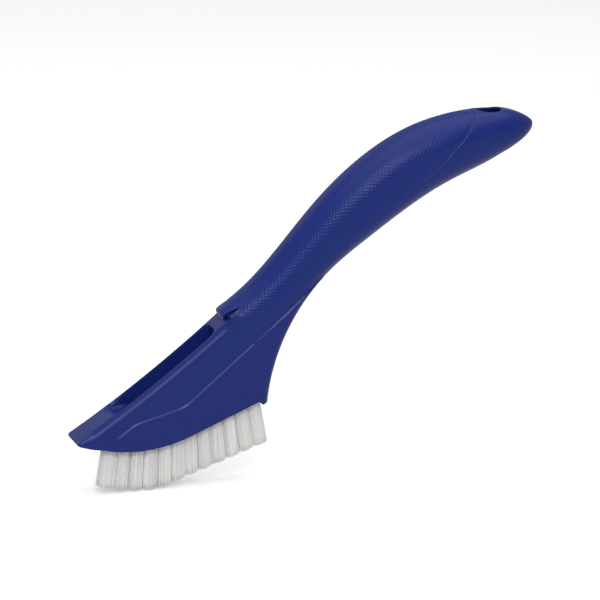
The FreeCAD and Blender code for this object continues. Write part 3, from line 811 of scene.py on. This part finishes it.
    def dropped_sole(self, settings, points):
        """The points with the underside of the head let down a little."""
        tree = tree_of(NODES["brush_body"].data)
        low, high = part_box("brush_body")[0][0], SOLE_END[1]
        hits = [tree.ray_cast(Vector((x, self.RIM_TRACK, -self.CEILING)), Vector((0.0, 0.0, 1.0)))[0]
                for x in np.arange(low, high, self.RIM_STEP)]
        sole_x, sole_z = np.array([(hit.x, hit.z) for hit in hits if hit]).T
        moved = points.copy()
        x, z = moved[:, 0], moved[:, 2]
        above = z - np.interp(x, sole_x, sole_z)
        weight = (1 - smoothstep(0.0, self.SKIN, above)) * (1 - smoothstep(*SOLE_END, x))
        weight *= smoothstep(0.0, self.RIM_GROWTH, x - low)
        z -= settings.sole_drop * weight
        return moved

    def shift_inside(self, settings, inset, depth, size):
        """Distance to move points slantwise inwards until none is outside the rim's slope."""
        low, high = np.zeros(len(inset)), np.full(len(inset), 2 * settings.rim_fall)
        width = settings.rim_slope * size
        fall = settings.rim_fall * size
        ease = settings.rim_ease * size
        steep = np.hypot(1 / width, 1 / fall)

        def room(move):
            wall = inset + move
            ramp = ((inset + move) / width + (depth + move) / fall - 1) / steep
            blend = np.clip(ease - np.abs(wall - ramp), 0.0, None)
            return np.minimum(wall, ramp) - blend ** 2 / (4 * ease)

        outer = room(low) < 0
        for _ in range(self.HALVINGS):
            middle = (low + high) / 2
            short = room(middle) < 0
            low, high = np.where(short, middle, low), np.where(short, high, middle)
        return np.where(outer, high, 0.0)

    def half_width(self, points, rim_x, rim_z):
        """Half the width of the head's upper walls, read off them just below the middle of the rim."""
        middle = np.array([rim_x[len(rim_x) // 2], rim_z[len(rim_x) // 2]])
        near = np.linalg.norm(points[:, [0, 2]] - middle, axis=1) < self.WIDTH_ZONE
        return np.abs(points[near, 1]).max()

    def recessed_notch(self, settings, points):
        """The points with the core sunk behind the notch under the grip's lip."""
        line = HandleLine()
        rear, low = self.NOTCH_ZONE
        chosen = np.nonzero((points[:, 0] < rear) & (points[:, 2] > low))[0]
        near = points[chosen]
        s = line.nearest(near)
        middle, normal = line.at(s)
        offset = near - middle
        turn = np.arctan2(np.abs(offset[:, 1]), (offset * normal).sum(axis=1))
        behind = s - line.nearest(points_of(NODES["soft_grip"].data)).min()
        gap = outside(NOTCH, behind, turn * NOTCH_RADIUS)
        sink = settings.notch_depth * smoothstep(self.NOTCH_EASE, -self.NOTCH_EASE, gap)
        sink *= behind > self.NOTCH_START
        sink *= smoothstep(NOTCH[-1][1], NOTCH[2][1], turn * NOTCH_RADIUS)
        reach = np.linalg.norm(offset, axis=1)
        shrink = 1 - sink / np.maximum(reach, WELD)
        points = points.copy()
        points[chosen] = middle + offset * shrink[:, None]
        return points


class BRUSH_OT_grip(Operator):
    """Build the soft grip with its raised diamonds as one closed shell"""
    bl_idname = "grout_brush.grip"
    bl_label = "Make the grip"

    # Rows of mesh in the front corner and the front face
    CORNER_STEPS = 5
    FACE_STEPS = 4
    # Distances from an edge at which the pattern starts and is full
    TEXTURE_EDGE = 0.6 * MM
    TEXTURE_FULL = 2.4 * MM
    # Front lip: the distance round from the ridge over which it ends, then the place, the width and
    # the end of the bead along its lower edge
    LIP_SIDE = (7.0 * MM, 9.0 * MM)
    BEAD_PLACE = 0.9 * MM
    BEAD_WIDTH = 0.5 * MM
    BEAD_FADE = (3.0 * MM, 6.0 * MM)
    # Edge curve: its step, the points it is evened out over, and the angles measured round the handle
    EDGE_STEP = 0.1 * MM
    EDGE_WINDOW = 31
    AROUND_COUNT = 331
    # Flush edges: how steeply they dive under the body, and how far the sheet goes beyond any edge
    DIVE_SLOPE = 0.12
    EDGE_REACH = 2.6 * MM
    # Rear seam: where it starts and is full along X, the foot of its groove, and how far beyond the
    # edge and how steeply it dives under the body
    REAR_SEAM_START = 0.030
    REAR_SEAM_FULL = 0.046
    SEAM_FOOT = 0.1 * MM
    SEAM_LAP = 1.1 * MM
    SEAM_SLOPE = 0.4
    # Waves that the diamonds' rows wander with, along the handle and round it: how fast each changes
    # with the periods along and round, and where it starts
    WANDER_ALONG = ((1.9, 2.3, 0.0), (-1.3, 3.1, 0.7))
    WANDER_AROUND = ((2.7, -1.7, 1.1), (1.1, 3.7, 2.0))
    # Triangles of the closed shell for each one of its outer sheet, and how strongly the hidden inner
    # sheet is thinned out before the outer one
    SHELL_SHARE = 2.1
    INSIDE_FACTOR = 1000.0

    def execute(self, context):
        settings = context.scene.brush_grip
        surface = GripSurface()
        sheet = self.shell(settings, surface)
        ratio = min(1.0, settings.face_limit / (self.SHELL_SHARE * triangles(sheet)))
        mesh = with_modifiers(
            sheet,
            ("SOLIDIFY", {"thickness": settings.wall, "offset": -1.0, "shell_vertex_group": "inside"}),
            ("DECIMATE", {"ratio": ratio, "vertex_group": "inside",
                          "vertex_group_factor": self.INSIDE_FACTOR}),
            group=("inside", np.zeros(len(sheet.vertices))))
        mesh.shade_smooth()
        link("soft_grip_shell", mesh, "grip_rubber", grip_finish(settings), "soft_grip")
        return {"FINISHED"}

    def rows(self, settings, surface):
        """Distances along the handle and the drops of the grid's rows: front face, corner, rest."""
        front, corner = surface.front - settings.lip, settings.corner
        drops = [settings.front_drop * (1 - k / self.FACE_STEPS) for k in range(self.FACE_STEPS)]
        face = [(front - drop, corner + drop) for drop in drops]
        turns = [math.pi / 2 * (1 - k / self.CORNER_STEPS) for k in range(self.CORNER_STEPS)]
        bend = [(front + corner * (1 - math.sin(t)), corner * (1 - math.cos(t))) for t in turns]
        cell = settings.period / settings.cells * settings.stretch
        rest = [(s, 0.0) for s in np.arange(front + corner, surface.rear + 2 * cell, cell)]
        table = np.array(face + bend + rest)
        return table[:, 0], table[:, 1]

    def edge_curve(self, surface):
        """The grip's edge as points of distance along the handle and distance from the ridge."""
        s = np.arange(surface.front, surface.rear, self.EDGE_STEP)
        turn = np.interp(s, surface.edge_rows, surface.edge_angles)
        window = np.hanning(self.EDGE_WINDOW)
        padded = np.pad(turn, self.EDGE_WINDOW // 2, mode="edge")
        turn = np.convolve(padded, window / window.sum(), mode="valid")
        around = self.around(surface, s)
        v = np.array([np.interp(turn[i], around[0], around[1][i]) for i in range(len(s))])
        return np.append(s, surface.rear), np.append(v, 0.0)

    def around(self, surface, s):
        """Angles, and for each row the distance from the ridge to each angle."""
        turns = np.linspace(0, surface.ANGLE_LIMIT, self.AROUND_COUNT)
        points = surface.place(np.asarray(s)[:, None], turns[None, :])
        steps = np.linalg.norm(np.diff(points, axis=1), axis=2)
        return turns, np.concatenate([np.zeros((len(steps), 1)), np.cumsum(steps, axis=1)], axis=1)

    def shell(self, settings, surface):
        """The outer sheet of the grip. It runs a little beyond its edge and dives under the body."""
        cell = settings.period / settings.cells
        s, drop = self.rows(settings, surface)
        edge_s, edge_v = self.edge_curve(surface)
        columns = int((edge_v.max() + self.EDGE_REACH) / cell) + 2
        v = np.arange(-columns, columns + 1) * cell
        turns, lengths = self.around(surface, s)
        turn = np.array([np.interp(np.abs(v), lengths[i], turns) for i in range(len(s))])
        turn *= np.sign(v)[None, :]
        inside = self.distance_inside(s, v, edge_s, edge_v)
        row_x = surface.line.at(s)[0][:, 0]
        rear = smoothstep(self.REAR_SEAM_START, self.REAR_SEAM_FULL, row_x)[:, None]
        wave = self.diamonds(settings, (s - surface.front)[:, None], v[None, :])
        begin = surface.front + settings.smooth_front
        fade = smoothstep(begin, begin + settings.smooth_front, s)[:, None]
        fade = fade * smoothstep(self.TEXTURE_EDGE, self.TEXTURE_FULL, inside)
        rear_sink = settings.seam_depth * smoothstep(settings.seam_round, -self.SEAM_FOOT, inside)
        rear_sink += np.clip(-self.SEAM_LAP - inside, 0.0, None) * self.SEAM_SLOPE
        front_sink = np.clip(-settings.lap - inside, 0.0, None) * self.DIVE_SLOPE - settings.proud
        notch = outside(NOTCH, (s - surface.front)[:, None], np.abs(turn) * NOTCH_RADIUS)
        fade = fade * smoothstep(self.TEXTURE_EDGE, self.TEXTURE_FULL, notch)
        edge = settings.notch_round
        notch_sink = edge - np.sqrt(edge ** 2 - np.clip(edge - notch, 0.0, edge) ** 2)
        below = smoothstep(*self.LIP_SIDE, np.abs(turn) * NOTCH_RADIUS)
        dive = np.clip(surface.front - settings.lap - s, 0.0, None)[:, None] * self.DIVE_SLOPE
        front = (1 - below) * drop[:, None] + below * dive
        sink = front + rear * rear_sink + (1 - rear) * front_sink + (1 - below) * notch_sink
        sink = sink - settings.relief * wave * fade
        above = np.exp(-((notch - self.BEAD_PLACE) / self.BEAD_WIDTH) ** 2)
        lip = 1 - smoothstep(*self.BEAD_FADE, s - surface.front)[:, None]
        sink = sink - settings.bead * above * lip
        points = surface.place(s[:, None], turn, sink)
        kept = (inside > -self.EDGE_REACH) & (notch > 0.0)
        return self.grid_mesh(points, kept, wave * fade)

    def diamonds(self, settings, along, around):
        """Height of the raised pattern, from -1 to 1: rows of diamonds that wander a little with
        uneven waves along the handle and round it."""
        u = along / (settings.period * settings.stretch) + 0 * around
        w = around / settings.period + 0 * along
        du, dw = [sum(np.sin(a * u + b * w + start) for a, b, start in waves)
                  for waves in (self.WANDER_ALONG, self.WANDER_AROUND)]
        u = u + settings.wander / 2 * du
        w = w + settings.wander / 2 * dw
        return np.cos(2 * math.pi * u) * np.cos(2 * math.pi * w)

    def distance_inside(self, s, v, edge_s, edge_v):
        """Distance of each grid place from the grip's edge, above zero inside it."""
        tree = KDTree(len(edge_s))
        for k in range(len(edge_s)):
            tree.insert((edge_s[k], edge_v[k], 0.0), k)
        tree.balance()
        limit = np.interp(s, edge_s, edge_v)
        limit[s > edge_s[-1]] = -1.0
        gap = np.zeros((len(s), len(v)))
        for i in range(len(s)):
            for j in range(len(v)):
                gap[i, j] = tree.find((s[i], abs(v[j]), 0.0))[2]
        return np.where(np.abs(v)[None, :] <= limit[:, None], gap, -gap)

    def grid_mesh(self, points, kept, height):
        """A mesh of the grid's cells whose four corners are kept, with the pattern's height on it."""
        rows, columns = kept.shape
        index = np.arange(rows * columns).reshape(rows, columns)
        cells = np.stack([index[:-1, :-1], index[:-1, 1:], index[1:, 1:], index[1:, :-1]], axis=-1)
        full = kept[:-1, :-1] & kept[:-1, 1:] & kept[1:, 1:] & kept[1:, :-1]
        cells = cells[full]
        used = np.unique(cells)
        number = np.full(rows * columns, -1)
        number[used] = np.arange(len(used))
        mesh = bpy.data.meshes.new("soft_grip_shell")
        mesh.from_pydata(points.reshape(-1, 3)[used].tolist(), [], number[cells].tolist())
        attribute = mesh.attributes.new(RELIEF, "FLOAT", "POINT")
        attribute.data.foreach_set("value", (0.5 + 0.5 * height.ravel()[used]).astype(np.float32))
        shape = bmesh.new()
        shape.from_mesh(mesh)
        bmesh.ops.recalc_face_normals(shape, faces=shape.faces)
        shape.to_mesh(mesh)
        shape.free()
        return mesh


class BRUSH_OT_tufts(Operator):
    """Build each tuft as a bundle of separate nylon filaments"""
    bl_idname = "grout_brush.tufts"
    bl_label = "Make the tufts"

    # Turn from one filament to the next in the bundle, their points along the free length, how early
    # the bundle opens, how many times as far a stray filament drifts and how late the dome falls off
    GOLDEN_TURN = math.pi * (3 - math.sqrt(5))
    STATIONS = (0.0, 0.12, 0.3, 0.6, 0.85)
    SPREAD_POWER = 0.3
    STRAY_DRIFT = 4.0
    DOME_POWER = 4
    # Packed inner filaments: points along the free length and sides of the section
    CORE_STATIONS = (-0.1, 0.0, 0.12, 0.3, 0.6, 0.85, 0.94)
    CORE_SIDES = 24
    # Flat ends of a CAD tuft: how near its top and bottom they lie, and how level they are
    ROOT_BAND = 1.5 * MM
    TIP_BAND = 3.0 * MM
    FLAT = 0.85

    def execute(self, context):
        settings = context.scene.brush_tufts
        finish = nylon_finish(settings)
        middle = sum(self.ends(NODES[name])[1].x for name in TUFT_NODES) / len(TUFT_NODES)
        for number, name in enumerate(TUFT_NODES):
            mesh = self.bundle(settings, NODES[name], middle, random.Random(number))
            link(name.replace("tuft_", "filaments_"), mesh, "bristle_nylon", finish, name)
        return {"FINISHED"}

    def ends(self, node):
        """Centre of the root end, centre of the trimmed end and the trimmed end's normal."""
        low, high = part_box(node.name)
        found = {1: [], -1: []}
        for face in node.data.polygons:
            if face.normal.z > self.FLAT and face.center.z > high[2] - self.ROOT_BAND:
                found[1].append(face)
            if face.normal.z < -self.FLAT and face.center.z < low[2] + self.TIP_BAND:
                found[-1].append(face)
        if not found[1] or not found[-1]:
            raise RuntimeError("%s has no flat ends" % node.name)
        middles = {}
        for side, faces in found.items():
            area = sum(face.area for face in faces)
            middles[side] = sum((face.center * face.area for face in faces), Vector()) / area
        trim = sum((face.normal * face.area for face in found[-1]), Vector()).normalized()
        return middles[1], middles[-1], trim

    def bundle(self, settings, node, middle, dice):
        """Mesh of one tuft's filaments, straight in the hole and spreading below it."""
        root, tip, trim = self.ends(node)
        tip.x += settings.gather * (middle - tip.x)
        axis = (tip - root).normalized()
        across = axis.orthogonal().normalized()
        side = axis.cross(across)
        mouth = root + axis * settings.hole_depth
        shorter = dice.uniform(0.0, settings.tuft_scatter)
        points, faces = [], []
        self.core(settings, mouth, tip - mouth, across, side, points, faces)
        for k in range(settings.count):
            ray = math.sqrt((k + 0.5) / settings.count)
            turn = k * self.GOLDEN_TURN
            out = (across * math.cos(turn) + side * math.sin(turn)) * ray
            stray = dice.random() < settings.stray_share
            scatter = settings.side_scatter * (self.STRAY_DRIFT if stray else 1.0)
            drift = across * dice.gauss(0, scatter) + side * dice.gauss(0, scatter)
            start = root + out * settings.root_radius
            end = tip + out * settings.tip_radius + drift
            end -= axis * ((end - tip).dot(trim) / axis.dot(trim))
            uneven = abs(dice.gauss(0, settings.tip_scatter))
            end -= axis * (uneven + settings.tip_dome * ray ** self.DOME_POWER + shorter)
            fall = (end - mouth).dot(axis)
            wide = end - mouth - axis * fall
            bow = across * dice.gauss(0, scatter) + side * dice.gauss(0, scatter)
            line = [start]
            for share_along in self.STATIONS:
                opened = out * settings.root_radius
                opened = opened.lerp(wide, share_along ** self.SPREAD_POWER)
                line.append(mouth + axis * (fall * share_along) + opened
                            + bow * (share_along * (1 - share_along) * 2))
            line.append(end)
            last = end + (end - line[-2]).normalized() * settings.filament / 4
            rings = [(centre, settings.filament / 2) for centre in line]
            rings.append((last, settings.filament / 4))
            self.tube(rings, settings.sides, across, side, points, faces)
        mesh = bpy.data.meshes.new(node.name + "_filaments")
        mesh.from_pydata(points, [], faces)
        mesh.shade_smooth()
        return mesh

    def core(self, settings, mouth, fall, across, side, points, faces):
        """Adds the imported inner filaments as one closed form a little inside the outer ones."""
        rings = []
        for share_along in self.CORE_STATIONS:
            opened = max(share_along, 0.0) ** self.SPREAD_POWER
            radius = settings.root_radius + (settings.tip_radius - settings.root_radius) * opened
            rings.append((mouth + fall * share_along, radius * settings.core_share))
        self.tube(rings, self.CORE_SIDES, across, side, points, faces)

    def tube(self, rings, sides, across, side, points, faces):
        """Adds one closed tube through rings, each a centre and a radius."""
        first = len(points)
        for centre, radius in rings:
            for n in range(sides):
                turn = 2 * math.pi * n / sides
                points.append(centre + (across * math.cos(turn) + side * math.sin(turn)) * radius)
        for ring in range(len(rings) - 1):
            base = first + ring * sides
            for n in range(sides):
                after = (n + 1) % sides
                faces.append((base + n, base + after, base + sides + after, base + sides + n))
        faces.append(tuple(first + n for n in reversed(range(sides))))
        faces.append(tuple(first + (len(rings) - 1) * sides + n for n in range(sides)))


class BRUSH_OT_anchors(Operator):
    """Give the anchor strips in the tuft holes their steel finish"""
    bl_idname = "grout_brush.anchors"
    bl_label = "Finish the anchor strips"

    def execute(self, context):
        finish = anchor_finish()
        for name in ANCHOR_NODES:
            NODES[name].material_slots[0].material = finish
        return {"FINISHED"}


class BRUSH_OT_stage(Operator):
    """Set the floor, the soft light and the camera"""
    bl_idname = "grout_brush.stage"
    bl_label = "Set the stage"

    # Each lamp's name, place, the point it shines at, diameter in metres and power in watts
    LAMPS = (
        ("overhead_softbox", (0.0, -0.05, 1.35), (0.0, 0.0, 0.08), 2.0, 14.0),
        ("front_softbox", (-0.34, -1.44, 1.05), (0.0, 0.0, 0.07), 0.55, 10.5),
        ("back_softbox", (-0.34, 1.47, 0.64), (-0.08, 0.0, 0.03), 0.8, 0.4),
    )
    # Camera: width of its sensor in millimetres, and the nearest and farthest distance it sees
    SENSOR = 36.0
    NEAREST = 0.05
    FARTHEST = 50.0

    def execute(self, context):
        settings = context.scene.brush_stage
        context.scene.view_settings.view_transform = "Standard"
        self.floor(settings)
        self.room(context, settings)
        for lamp in self.LAMPS:
            self.lamp(*lamp)
        self.camera(context, settings)
        return {"FINISHED"}

    def floor(self, settings):
        """Lays the pale floor just under the bristle tips."""
        half = settings.floor_size / 2
        level = -settings.floor_gap
        corners = [(a * half, b * half, level) for a, b in ((-1, -1), (1, -1), (1, 1), (-1, 1))]
        mesh = bpy.data.meshes.new("floor")
        mesh.from_pydata(corners, [], [(0, 1, 2, 3)])
        mesh.materials.append(floor_finish(settings))
        floor = bpy.data.objects.new("floor", mesh)
        bpy.context.scene.collection.objects.link(floor)

    def room(self, context, settings):
        """Sets the even light from all round."""
        world = bpy.data.worlds.new("room")
        world.use_nodes = True
        back = world.node_tree.nodes["Background"]
        back.inputs["Color"].default_value = (*settings.sky, 1.0)
        back.inputs["Strength"].default_value = settings.sky_strength
        context.scene.world = world

    def lamp(self, name, spot, aim, size, power):
        """Hangs one round soft lamp that shines at a point."""
        data = bpy.data.lights.new(name, "AREA")
        data.shape = "DISK"
        data.size = size
        data.energy = power
        lamp = bpy.data.objects.new(name, data)
        bpy.context.scene.collection.objects.link(lamp)
        lamp.location = spot
        lamp.rotation_euler = (Vector(aim) - Vector(spot)).to_track_quat("-Z", "Y").to_euler()

    def camera(self, context, settings):
        """Sets up the camera at the photograph's viewing angle."""
        a, e = settings.azimuth, settings.elevation
        back = Vector((math.sin(a) * math.cos(e), -math.cos(a) * math.cos(e), math.sin(e)))
        right = Vector((math.cos(a), math.sin(a), 0.0))
        up = back.cross(right)
        aim = Vector((0.0, 0.0, settings.aim_height)) - right * settings.aim_left + up * settings.aim_up
        data = bpy.data.cameras.new("camera")
        data.sensor_width = self.SENSOR
        data.lens = settings.focal
        data.dof.use_dof = False
        data.clip_start = self.NEAREST
        data.clip_end = self.FARTHEST
        camera = bpy.data.objects.new("camera", data)
        context.scene.collection.objects.link(camera)
        camera.location = aim + back * settings.distance
        camera.rotation_euler = (-back).to_track_quat("-Z", "Y").to_euler()
        context.scene.camera = camera


class BRUSH_PT_panel(Panel):
    """Lists the brush's pieces and their settings"""
    bl_idname = "BRUSH_PT_panel"
    bl_label = "Grout brush"
    bl_space_type = "VIEW_3D"
    bl_region_type = "UI"
    bl_category = "Grout brush"

    def draw(self, context):
        for operator, settings in STEPS:
            self.layout.operator(operator.bl_idname)
            if settings:
                group = getattr(context.scene, settings)
                for key in group.bl_rna.properties.keys():
                    if key not in ("rna_type", "name"):
                        self.layout.prop(group, key)


STEPS = (
    (BRUSH_OT_body, "brush_body"),
    (BRUSH_OT_grip, "brush_grip"),
    (BRUSH_OT_tufts, "brush_tufts"),
    (BRUSH_OT_anchors, None),
    (BRUSH_OT_stage, "brush_stage"),
)
SETTINGS = {
    "brush_body": BodySettings,
    "brush_grip": GripSettings,
    "brush_tufts": TuftSettings,
    "brush_stage": StageSettings,
}
CLASSES = (*SETTINGS.values(), *(operator for operator, _ in STEPS), BRUSH_PT_panel)


def register():
    """Makes the operators, the panel and the settings known to Blender."""
    for made in CLASSES:
        bpy.utils.register_class(made)
    for name, group in SETTINGS.items():
        setattr(bpy.types.Scene, name, PointerProperty(type=group))


def unregister():
    """Takes them away again."""
    for name in SETTINGS:
        delattr(bpy.types.Scene, name)
    for made in reversed(CLASSES):
        bpy.utils.unregister_class(made)


def main():
    """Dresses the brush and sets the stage."""
    register()
    bpy.ops.grout_brush.body()
    bpy.ops.grout_brush.grip()
    bpy.ops.grout_brush.tufts()
    bpy.ops.grout_brush.anchors()
    bpy.ops.grout_brush.stage()


if __name__ == "__main__":
    main()
